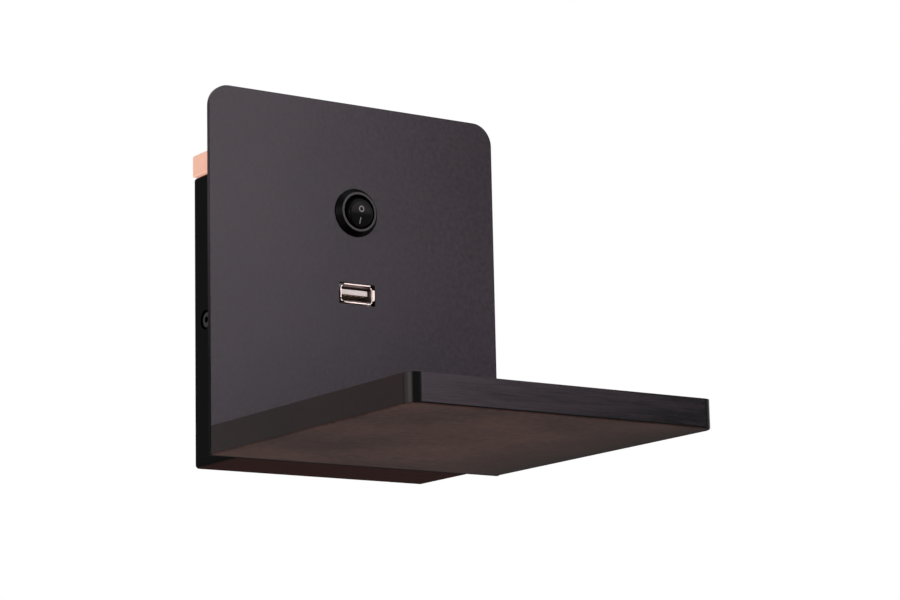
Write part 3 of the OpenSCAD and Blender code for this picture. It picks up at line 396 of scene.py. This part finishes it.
# The brushed front darkens towards the right: painted shade over the real brush lines.
brush_and_right_shade = (0.7 * brush_line + 0.3 * brush_band - 0.34) / 0.32 - 7.0 * tray_coat.at["X"]
tray_brushed_and_shaded = tray_coat.mix(brush_and_right_shade, shade(1, 0, 1), shade(46, 39, 46))
tray_skin = (0.7 * tray_pebble + 0.3 * tray_patch) * (1 - brushed)
tray_finish = tray_coat.surface(
    Base_Color=tray_coat.mix(
        brushed, tray_coat.mix(bent, tray_coat.mix(under, tray_side, tray_under_reflected), bend_light_and_shade), tray_brushed_and_shaded),
    Roughness=0.2 + 0.5 * under + 0.08 * tray_patch + 0.1 * brush_line * brushed,
    Specular_IOR_Level=0.065,
    Normal=tray_coat.bump(tray_skin + 0.9 * brush_line * brushed, 0.00002))
tray_shape = merged_copy("shelf_tray")
round_off(tray_shape, 0.0002, 2)
piece("tray", tray_shape, "lamp", "shelf_powder", tray_finish, "shelf_tray")
panel_shape = merged_copy("shelf_top")
round_off(panel_shape, 0.0002, 2)
piece("top_panel", panel_shape, "lamp", "plate_powder", plate_coat, "shelf_top")
softened("stiffener", "shelf_stiffener", "zinc", zinc, 0.0002)
softened("rivet_nuts", "shelf_nuts", "zinc", zinc, 0.0002)
softened("tray_screws", "shelf_screws", "zinc", zinc, 0.0002)

foam = Finish("foam_tape")
foam_cell = foam.cells(0.0004)
dress("shelf_tape", foam.surface(
    Base_Color=foam.mix(foam_cell, shade(70, 68, 66), shade(40, 39, 38)),
    Roughness=0.92,
    Specular_IOR_Level=0.2,
    Normal=foam.bump(foam_cell, 0.0001)))

# ---- Housing ----
# The box behind the plate is folded from 1.2 mm steel and painted a flat black that is darker and
# smoother than the plate's coat. Its sides have pressed pockets that take the fixing screws.
housing_low, housing_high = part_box("housing")
bottom_band, groove_shadow = 0.0003, 0.0009


def housing_bottom_reflection(paint):
    """The underside, painted brown as a painted warm reflection of the floor, behind a black strip along the
    plate that stands for the shadow in the groove.
    """
    return (paint.at["Z"] < housing_low.z + bottom_band) * (paint.at["Y"] > housing_low.y + groove_shadow)


# The housing's underside is painted brown as a painted warm reflection, and a black strip along the plate
# stays as painted shadow.
housing_paint = powder_coat("housing_paint", shade(1, 1, 1), shade(6, 5, 5), 0.42, 0.011, 0.0004,
                            (housing_bottom_reflection, shade(44, 29, 28), 0.5))
housing_shape = merged_copy("housing")
round_off(housing_shape, 0.0002, 2)
piece("housing_box", housing_shape, "lamp", "housing_powder", housing_paint, "housing")

# ---- Light source ----
# A strip of warm white LEDs is screwed inside the roof and shines up through an opal cover that is
# moulded in one piece and snaps into the housing's opening with small hooks.
diffuser_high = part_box("diffuser")[1]
glow_pitch, glow_foot, glow_crest = 0.0108, 0.0002, 0.0005
tan_y, tan_reach = -0.0045, 0.0022
opal = Finish("lit_opal")
opal_ripple = opal.grain(0.006, 2)
hot_spot = (1 - ((opal.at["X"] / glow_pitch).modulo(1.0) - 0.5).size() * 2) ** 2.0
opal_warm = opal.mix(0.5 * opal_ripple + 0.35 * hot_spot, (0.52, 0.19, 0.12, 1), (0.64, 0.28, 0.19, 1))
board_glow = (1 - ((opal.at["Y"] - tan_y) / tan_reach).size()) | 0.0
opal_tan = opal.mix(0.7 * board_glow, opal_warm, (0.44, 0.27, 0.085, 1))
# The glow is brighter along the cover's foot, a painted highlight on its lower edge, and weaker along its top
# edge.
opal_foot_highlight = opal.at["Z"] < housing_high.z + glow_foot
opal_crest = opal.at["Z"] > diffuser_high.z - glow_crest
opal_lower = opal.mix(opal_foot_highlight, opal_tan, (0.95, 0.55, 0.42, 1))
opal_glow = opal.mix(0.8 * opal_crest, opal_lower, (0.10, 0.09, 0.085, 1))
opal_finish = opal.surface(
    Base_Color=opal.mix(opal_ripple, shade(196, 158, 144), shade(206, 168, 152)),
    Roughness=0.32 + 0.1 * opal_ripple,
    Specular_IOR_Level=0.4,
    Emission_Color=opal_glow,
    Emission_Strength=0.58,
    Normal=opal.bump(opal_ripple, 0.00004))
diffuser_shape = merged_copy("diffuser")
round_off(diffuser_shape, 0.0003, 3)
piece("opal_cover", diffuser_shape, "lamp", "opal", opal_finish, "diffuser")


def moulded(name, dark, light, roughness, specular=0.4, grain=0.0004, depth=0.00001):
    """Injection moulded plastic: an even tone with faint flow clouds and a finely eroded skin."""
    plastic = Finish(name)
    skin = plastic.grain(grain, 3)
    flow = plastic.grain(0.009, 2, (1, 0.35, 1))
    return plastic.surface(
        Base_Color=plastic.mix(0.3 * skin + 0.7 * flow, dark, light),
        Roughness=roughness - 0.06 + 0.14 * skin,
        Specular_IOR_Level=specular,
        Normal=plastic.bump(skin, depth))


# The board is white, and fine gaps part its copper under each light source. Twelve light sources stand on
# it in two staggered rows, each a white moulded cup that is filled with a domed drop of yellow phosphor.
board_low, board_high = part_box("led_board")
chip_low, chip_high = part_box("led_chips")
chip_count, chip_size = 12, Vector((0.0035, 0.0028, 0.0007))
board_ends, board_land, gap_half = 0.010, 0.001, 0.00018
chip_step = (board_high.x - board_low.x - board_ends) / chip_count
chip_first = chip_low + chip_size / 2
chip_rows = (chip_high.y - chip_size.y / 2, chip_first.y)
cup_rim, cup_depth, drop_rise, drop_size = 0.00035, 0.0002, 0.00012, (0.00108, 0.00085, 0.0002, 1)
mask_white = Finish("white_solder_mask")
mask_grain = mask_white.grain(0.0008, 3)
from_middle = mask_white.at["Y"] - (board_low.y + board_high.y) / 2
along = (mask_white.at["X"] - chip_first.x + (from_middle < 0) * chip_step) / (2 * chip_step)
across_gap = ((along + 0.5).modulo(1.0) - 0.5).size() * 2 * chip_step < gap_half
on_copper = from_middle.size() < (board_high.y - board_low.y) / 2 - board_land
copper_gap = (across_gap | (from_middle.size() < gap_half)) * on_copper
board_white = mask_white.surface(
    Base_Color=mask_white.mix(0.5 * copper_gap + 0.3 * mask_grain,
                              shade(232, 231, 226), shade(190, 189, 180)),
    Roughness=0.36 + 0.12 * mask_grain,
    Normal=mask_white.bump(1 - copper_gap, 0.00003))
softened("light_board", "led_board", "board_white", board_white, 0.0001)
cups, drops = bmesh.new(), bmesh.new()
for number in range(chip_count):
    chip_place = Matrix.Translation((chip_first.x + number * chip_step, chip_rows[number % 2], chip_first.z))
    cup_place = chip_place @ Matrix.Diagonal(chip_size).to_4x4()
    cup = bmesh.ops.create_cube(cups, size=1, matrix=cup_place)["verts"]
    top = max({face for corner in cup for face in corner.link_faces}, key=lambda face: face.normal.z)
    bmesh.ops.inset_individual(cups, faces=[top], thickness=cup_rim, use_even_offset=True)
    bmesh.ops.inset_individual(cups, faces=[top], thickness=cup_depth, depth=-cup_depth, use_even_offset=True)
    drop_place = chip_place @ Matrix.Translation((0, 0, drop_rise)) @ Matrix.Diagonal(drop_size)
    bmesh.ops.create_uvsphere(drops, u_segments=20, v_segments=10, radius=1, matrix=drop_place)
round_off(cups, 0.00008, 2)
cup_white = moulded("cup_white", shade(226, 224, 216), shade(238, 236, 230), 0.4)
piece("led_cups", cups, "lamp", "emitter", cup_white, "led_chips")
phosphor = Finish("lit_phosphor")
phosphor_dot = phosphor.grain(0.0003, 2)
piece("led_drops", drops, "lamp", "emitter", phosphor.surface(
    Base_Color=phosphor.mix(phosphor_dot, shade(240, 208, 120), shade(250, 226, 150)),
    Roughness=0.4 + 0.1 * phosphor_dot,
    Emission_Color=phosphor.mix(phosphor_dot, (1.0, 0.62, 0.34, 1), (1.0, 0.74, 0.46, 1)),
    Emission_Strength=1.6))
softened("board_screws", "led_screws", "zinc", zinc, 0.00015)
rubber = moulded("black_rubber", shade(34, 33, 33), shade(48, 46, 46), 0.72, 0.3, 0.0002, 0.00002)
softened("lead_bush", "led_bush", "black_rubber", rubber, 0.0002)

# ---- Wall bracket and mains terminals ----
# A zinc-plated bracket is screwed to the wall, and the housing hangs on its two ears with a black
# socket head screw on each side. The supply cable comes through a grommet to a terminal block.
softened("bracket", "wall_bracket", "zinc", zinc, 0.00025)
softened("ear_nuts", "bracket_nuts", "zinc", zinc, 0.0002)
black_screw = plated("blackened_steel", (0.006, 0.0057, 0.0055, 1), (0.002, 0.002, 0.002, 1), 0.28)
softened("hanging_screws", "side_screws", "black_screw", black_screw, 0.0002)
softened("grommet", "cable_grommet", "black_rubber", rubber, 0.0004, segments=3)
nylon = moulded("natural_nylon", shade(214, 208, 192), shade(228, 223, 209), 0.45)
softened("mains_block", "terminal_block", "natural_nylon", nylon, 0.0003)
brass = plated("brass", (0.80, 0.60, 0.30, 1), (0.58, 0.41, 0.19, 1), 0.3)
softened("mains_clamps", "terminal_clamps", "brass", brass, 0.00015)
softened("clamp_screws", "terminal_screws", "zinc", zinc, 0.00012)
softened("mains_block_screws", "block_screws", "zinc", zinc, 0.00015)
softened("earth_ring", "earth_tag", "brass", brass, 0.0001)
softened("earth_fixing", "earth_screw", "earth_steel", zinc, 0.00015)

# ---- Driver ----
# The light source's driver is a closed white plastic case with a lid, moulded in a fine matt texture. Two
# screws hold it to the inside of the housing.
case_white = moulded("white_case", shade(206, 206, 202), shade(222, 222, 218), 0.5)
softened("driver_shell", "driver_case", "case_white", case_white, 0.0006, segments=3)
softened("driver_cover", "driver_lid", "case_white", case_white, 0.0004, segments=3)
softened("driver_fixings", "driver_screws", "zinc", zinc, 0.00015)

# ---- Charging socket ----
# A type A socket on its own supply: a drawn steel shell with flared lips, a pale plastic tongue with
# four contacts, and behind it a small board in a white case.
socket_steel = plated("socket_steel", (0.52, 0.45, 0.42, 1), (0.25, 0.20, 0.18, 1), 0.34)
mouth, lip_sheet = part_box("usb_shell")[0].y, 0.0005
shell_shape = merged_copy("usb_shell")


def lip_corner(edge):
    """Whether an edge is a corner of a flared lip, where the sheet ends."""
    return all(corner.co.y < mouth + 0.00001 for corner in edge.verts) and edge.calc_length() < lip_sheet


round_off(shell_shape, 0.0003, 3, 35, lip_corner)
piece("socket_shell", shell_shape, "lamp", "socket_steel", socket_steel, "usb_shell")
tongue_low, tongue_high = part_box("usb_tongue")
tongue = Finish("socket_plastic")
tongue_skin = tongue.grain(0.0004, 3)
# The tongue darkens towards its lower edge: painted shade inside the socket's mouth.
tongue_shade = ((tongue_high.z - tongue.at["Z"]) / (tongue_high.z - tongue_low.z) | 0.0) ** 1.6
tongue_plastic = tongue.surface(
    Base_Color=tongue.mix(tongue_shade,
                          tongue.mix(tongue_skin, shade(226, 219, 216), shade(240, 233, 229)),
                          shade(112, 98, 90)),
    Roughness=0.34 + 0.14 * tongue_skin,
    Specular_IOR_Level=0.4,
    Normal=tongue.bump(tongue_skin, 0.00001))
tongue_shape = merged_copy("usb_tongue")
round_off(tongue_shape, 0.00012, 2)
piece("socket_tongue", tongue_shape, "lamp", "socket_plastic", tongue_plastic, "usb_tongue")
# The contacts are a dark, dull gold: painted shade under the tongue.
dress("usb_contacts", plated("shaded_contact_gold", (0.34, 0.22, 0.09, 1), (0.16, 0.10, 0.05, 1), 0.4))
softened("socket_case", "usb_case", "case_white", case_white, 0.0005, segments=3)
softened("socket_case_cover", "usb_lid", "case_white", case_white, 0.0004, segments=3)
track_start, track_pitch, track_share = -0.1, 0.0009, 0.22
jog_every, jog_from, jog_by = 0.009, 0.003, 0.0018
mask_green = Finish("green_solder_mask")
mask_cloud = mask_green.grain(0.0015, 3)
jog = ((mask_green.at["X"] - track_start).modulo(jog_every) - jog_from | 0.0) & jog_by
track = (mask_green.at["Y"] - track_start - jog) / track_pitch
board_lines = (track.modulo(1.0) - 0.5).size() < track_share
board_green = mask_green.surface(
    Base_Color=mask_green.mix(0.8 * board_lines + 0.2 * mask_cloud, shade(16, 74, 42), shade(48, 130, 76)),
    Roughness=0.3 + 0.12 * mask_cloud,
    Normal=mask_green.bump(board_lines, 0.00003))
softened("socket_board", "usb_board", "board_green", board_green, 0.00008)

# The transformer is two ferrite halves round a bobbin that is wound with enamelled wire and yellow tape.
# The capacitor's can stands beside it in a blue sleeve with a pale stripe, its top bare aluminium.
core_middle = sum(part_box("usb_transformer"), Vector()) / 2
window_x, window_z, turn_pitch = 0.00285, 0.00265, 0.0006
wound = Finish("ferrite_and_tape")
in_window = (((wound.at["X"] - core_middle.x).size() < window_x)
             * ((wound.at["Z"] - core_middle.z).size() < window_z))
turn = ((wound.at["Z"] / turn_pitch).modulo(1.0) - 0.5).size() * 2
ferrite_grain = wound.grain(0.0003, 4)
softened("transformer", "usb_transformer", "ferrite", wound.surface(
    Base_Color=wound.mix(in_window, wound.mix(ferrite_grain, shade(38, 37, 38), shade(64, 61, 60)),
                         wound.mix(turn, shade(198, 158, 40), shade(226, 190, 70))),
    Roughness=0.62 - 0.25 * in_window + 0.1 * ferrite_grain,
    Specular_IOR_Level=0.4,
    Normal=wound.bump(in_window * turn + 0.3 * ferrite_grain, 0.00005)), 0.0002)
can_low, can_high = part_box("usb_capacitor")
can_middle = (can_low + can_high) / 2
top_band, stripe_from, score_half = 0.0005, 0.0019, 0.00015
sleeve = Finish("capacitor_sleeve")
bare_top = sleeve.at["Z"] > can_high.z - top_band
stripe = sleeve.at["X"] > can_middle.x + stripe_from
scored = (((sleeve.at["X"] - can_middle.x).size() < score_half)
          | ((sleeve.at["Y"] - can_middle.y).size() < score_half))
sleeve_grain = sleeve.grain(0.0009, 3)
sleeve_blue = sleeve.mix(sleeve_grain, shade(22, 34, 70), shade(34, 50, 92))
sleeve_print = sleeve.mix(stripe, sleeve_blue, shade(170, 178, 188))
softened("capacitor_can", "usb_capacitor", "capacitor", sleeve.surface(
    Base_Color=sleeve.mix(bare_top, sleeve_print, (0.72, 0.72, 0.71, 1)),
    Metallic=bare_top,
    Roughness=0.3 + 0.1 * sleeve_grain,
    Specular_IOR_Level=0.45,
    Normal=sleeve.bump(1 - scored * bare_top, 0.00012)), 0.0003, segments=3)

# ---- Rocker switch ----
# A round snap-in switch of black nylon. Its bezel has a polished narrow front ring and a matt flank. The
# rocker turns on two pins in the barrel; as it is pressed, a sprung plunger in its stem tips the contact
# lever over.
switch_low, switch_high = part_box("switch_body")
switch_middle = Vector((0, plate_low.y, (switch_low.z + switch_high.z) / 2))
ring_inner, ring_outer, ring_depth = 0.0061, 0.00725, 0.0004
bezel = Finish("bezel_black")
bezel_skin = bezel.grain(0.0004, 3)
above_axis = bezel.at["Z"] - switch_middle.z
off_axis = (bezel.at["X"] * bezel.at["X"] + above_axis * above_axis) ** 0.5
ring = (off_axis > ring_inner) * (off_axis < ring_outer) * (bezel.at["Y"] < switch_low.y + ring_depth)
bezel_shape = merged_copy("switch_body")
round_off(bezel_shape, 0.00012, 2)
piece("switch_bezel", bezel_shape, "lamp", "switch_black", bezel.surface(
    Base_Color=bezel.mix(bezel_skin, shade(2, 2, 2), shade(7, 6, 6)),
    Roughness=0.26 + 0.12 * bezel_skin,
    Specular_IOR_Level=0.035,
    Coat_Weight=0.2 * ring,
    Coat_Roughness=0.25,
    Normal=bezel.bump(bezel_skin, 0.00001)), "switch_body")

# The rocker is a short plug with straight tapers. Its face falls away to both sides of a soft ridge and
# runs round into the flank, and a white O and I are printed on it. Its sizes are in millimetres.
face_fall = math.tan(math.radians(12))
face_ridge, face_softness, face_rings, face_r = 5.2, 1.0, (0, 1.2, 2.4, 3.4), 5.03
waist_z, waist_r, skirt_z, skirt_r = 1.25, 5.87, -2.5, 5.6
hollow_r, hollow_z, stem_r, stem_z, bore_r, bore_z = 4.0, -1.0, 2.2, -4.6, 1.3, 0.4
rim_round, pin_r, pin_l, pin_x = 0.9, 0.9, 1.4, 5.95
pivot_z, rocker_tilt = -1.2, math.radians(12)
rocker_place = (Matrix.Translation(switch_middle) @ Matrix.Rotation(math.radians(90), 4, "X")
                @ Matrix.Scale(0.001, 4) @ Matrix.Translation((0, 0, pivot_z))
                @ Matrix.Rotation(rocker_tilt, 4, "X"))


def turned(outline, steps=64, closed=False):
    """A turned shape: an outline of (radius, height) spun about the Z axis."""
    shape = bmesh.new()
    corners = [shape.verts.new((radius, 0, height)) for radius, height in outline]
    edges = [shape.edges.new(pair) for pair in zip(corners, corners[1:])]
    if closed:
        edges.append(shape.edges.new((corners[-1], corners[0])))
    bmesh.ops.spin(shape, geom=corners + edges, cent=(0, 0, 0), axis=(0, 0, 1), dvec=(0, 0, 0),
                   angle=2 * math.pi, steps=steps, use_merge=True, use_duplicate=False)
    bmesh.ops.remove_doubles(shape, verts=shape.verts, dist=1e-5)
    bmesh.ops.recalc_face_normals(shape, faces=shape.faces)
    return shape


def face_drop(y):
    """How far the rocker's face lies under its ridge."""
    return face_fall * (math.hypot(y, face_softness) - face_softness)


rocker_shape = turned([(radius, face_ridge) for radius in face_rings] + [
    (face_r, face_ridge), (waist_r, waist_z), (waist_r, -waist_z), (skirt_r, skirt_z),
    (hollow_r, skirt_z), (hollow_r, hollow_z), (stem_r, hollow_z), (stem_r, stem_z),
    (bore_r, stem_z), (bore_r, bore_z), (0, bore_z)])
round_off(rocker_shape, rim_round, 6, 50, lambda edge: min(v.co.z for v in edge.verts) > face_ridge - 0.01)
for corner in rocker_shape.verts:
    if corner.co.z > waist_z + 0.01:
        drop = face_drop(corner.co.y) * (corner.co.z - waist_z) / (face_ridge - waist_z)
        wider = 1 + drop * face_fall / face_r
        corner.co = Vector((corner.co.x * wider, corner.co.y * wider, corner.co.z - drop))
for side in (-1, 1):
    bmesh.ops.create_cone(
        rocker_shape, cap_ends=True, cap_tris=False, segments=24, radius1=pin_r, radius2=pin_r, depth=pin_l,
        matrix=Matrix.Translation((side * pin_x, 0, 0)) @ Matrix.Rotation(math.radians(90), 4, "Y"))
rocker_shape.transform(rocker_place)
rocker_black = moulded("rocker_black", shade(2, 2, 2), shade(7, 6, 6), 0.36, 0.06)
piece("rocker", rocker_shape, "rocker", "switch_black", rocker_black, "switch_rocker", smooth=50)

print_white = moulded("white_print", shade(112, 110, 110), shade(136, 134, 134), 0.5, 0.2)
print_height, print_shift = 0.03, -0.15
o_inner, o_outer, o_y, bar_size, bar_y = 0.72, 1.12, 1.8, (0.19, 1.15, 1, 1), -2.4


def printed(name, shape, middle_y):
    """Lays a thin print, made flat about the origin, on the rocker's face."""
    for corner in shape.verts:
        corner.co.x += print_shift
        corner.co.y += middle_y
        corner.co.z += face_ridge - face_drop(corner.co.y)
    shape.transform(rocker_place)
    piece(name, shape, "rocker", "switch_black", print_white)


o_outline = [(o_inner, 0), (o_outer, 0), (o_outer, print_height), (o_inner, print_height)]
printed("mark_off", turned(o_outline, 40, True), o_y)
bar = bmesh.new()
bmesh.ops.create_grid(bar, x_segments=2, y_segments=8, size=1, matrix=Matrix.Diagonal(bar_size))
bar_top = bmesh.ops.extrude_face_region(bar, geom=bar.faces[:])["geom"]
bmesh.ops.translate(bar, vec=(0, 0, print_height),
                    verts=[corner for corner in bar_top if isinstance(corner, bmesh.types.BMVert)])
bmesh.ops.recalc_face_normals(bar, faces=bar.faces)
printed("mark_on", bar, bar_y)

# The plunger's spring is wound from steel wire and sits in the stem's bore. The lever, its silver contact
# and the terminals are stamped from sheet. The spring's sizes are in millimetres.
softened("plunger", "switch_plunger", "natural_nylon", nylon, 0.00015, "rocker")
spring_wire, spring_r, spring_low, spring_high, spring_turns = 0.15, 0.95, -3.25, 0.23, 4
spring_steps = 28 * spring_turns
spring_shape = bmesh.new()
wire_end = bmesh.ops.create_circle(
    spring_shape, segments=10, radius=spring_wire,
    matrix=Matrix.Translation((spring_r, 0, spring_low)) @ Matrix.Rotation(math.radians(90), 4, "X"))["verts"]
bmesh.ops.spin(spring_shape, geom=wire_end + spring_shape.edges[:], cent=(0, 0, 0), axis=(0, 0, 1),
               dvec=(0, 0, (spring_high - spring_low) / spring_steps), angle=2 * math.pi * spring_turns,
               steps=spring_steps, use_merge=False, use_duplicate=False)
bmesh.ops.holes_fill(spring_shape, edges=[edge for edge in spring_shape.edges if edge.is_boundary])
bmesh.ops.recalc_face_normals(spring_shape, faces=spring_shape.faces)
spring_shape.transform(rocker_place)
piece("spring", spring_shape, "rocker", "zinc", zinc, "switch_spring", smooth=60)
copper = plated("copper", (0.86, 0.50, 0.36, 1), (0.60, 0.32, 0.22, 1), 0.32)
softened("tipping_lever", "contact_lever", "copper", copper, 0.0001, "lever")
silver = plated("silver_contact", (0.90, 0.89, 0.87, 1), (0.72, 0.71, 0.69, 1), 0.28)
softened("lever_contact", "moving_contact", "silver_contact", silver, 0.00015, "lever")
softened("pivot_terminal", "common_terminal", "brass", brass, 0.0001)
softened("contact_terminal", "load_terminal", "brass", brass, 0.0001)
softened("push_on_connectors", "switch_connectors", "brass", brass, 0.00012)


# ---- Leads ----
# Single-core copper leads in soft plastic insulation join the terminals, the supplies and the switch:
# brown live, blue neutral, red to the light source, and green with yellow bands to earth.
def insulation(name, dark, light):
    """Extruded insulation: slightly waxy, with faint streaks and a dusting of talc."""
    skin = Finish(name)
    streak = skin.grain(0.0012, 3)
    return skin.surface(
        Base_Color=skin.mix(streak, dark, light),
        Roughness=0.36 + 0.16 * streak,
        Specular_IOR_Level=0.45,
        Normal=skin.bump(streak, 0.00001))


brown = insulation("brown_insulation", shade(78, 46, 30), shade(98, 60, 40))
dress("live_leads", brown)
dress("switched_lead", brown)
dress("neutral_leads", insulation("blue_insulation", shade(34, 74, 148), shade(48, 92, 170)))
dress("led_leads", insulation("red_insulation", shade(158, 34, 30), shade(182, 46, 40)))
band_pitch, band_share = 0.003, 0.4
earth_skin = Finish("green_yellow_insulation")
along_lead = earth_skin.at["X"] + earth_skin.at["Y"] + 0.7 * earth_skin.at["Z"]
yellow = (along_lead / band_pitch).modulo(1.0) < band_share
talc = earth_skin.grain(0.0012, 3)
earth_green = earth_skin.mix(talc, shade(40, 124, 48), shade(56, 142, 62))
dress("earth_lead", earth_skin.surface(
    Base_Color=earth_skin.mix(yellow, earth_green, shade(216, 196, 44)),
    Roughness=0.36 + 0.16 * talc,
    Normal=earth_skin.bump(talc, 0.00001)))
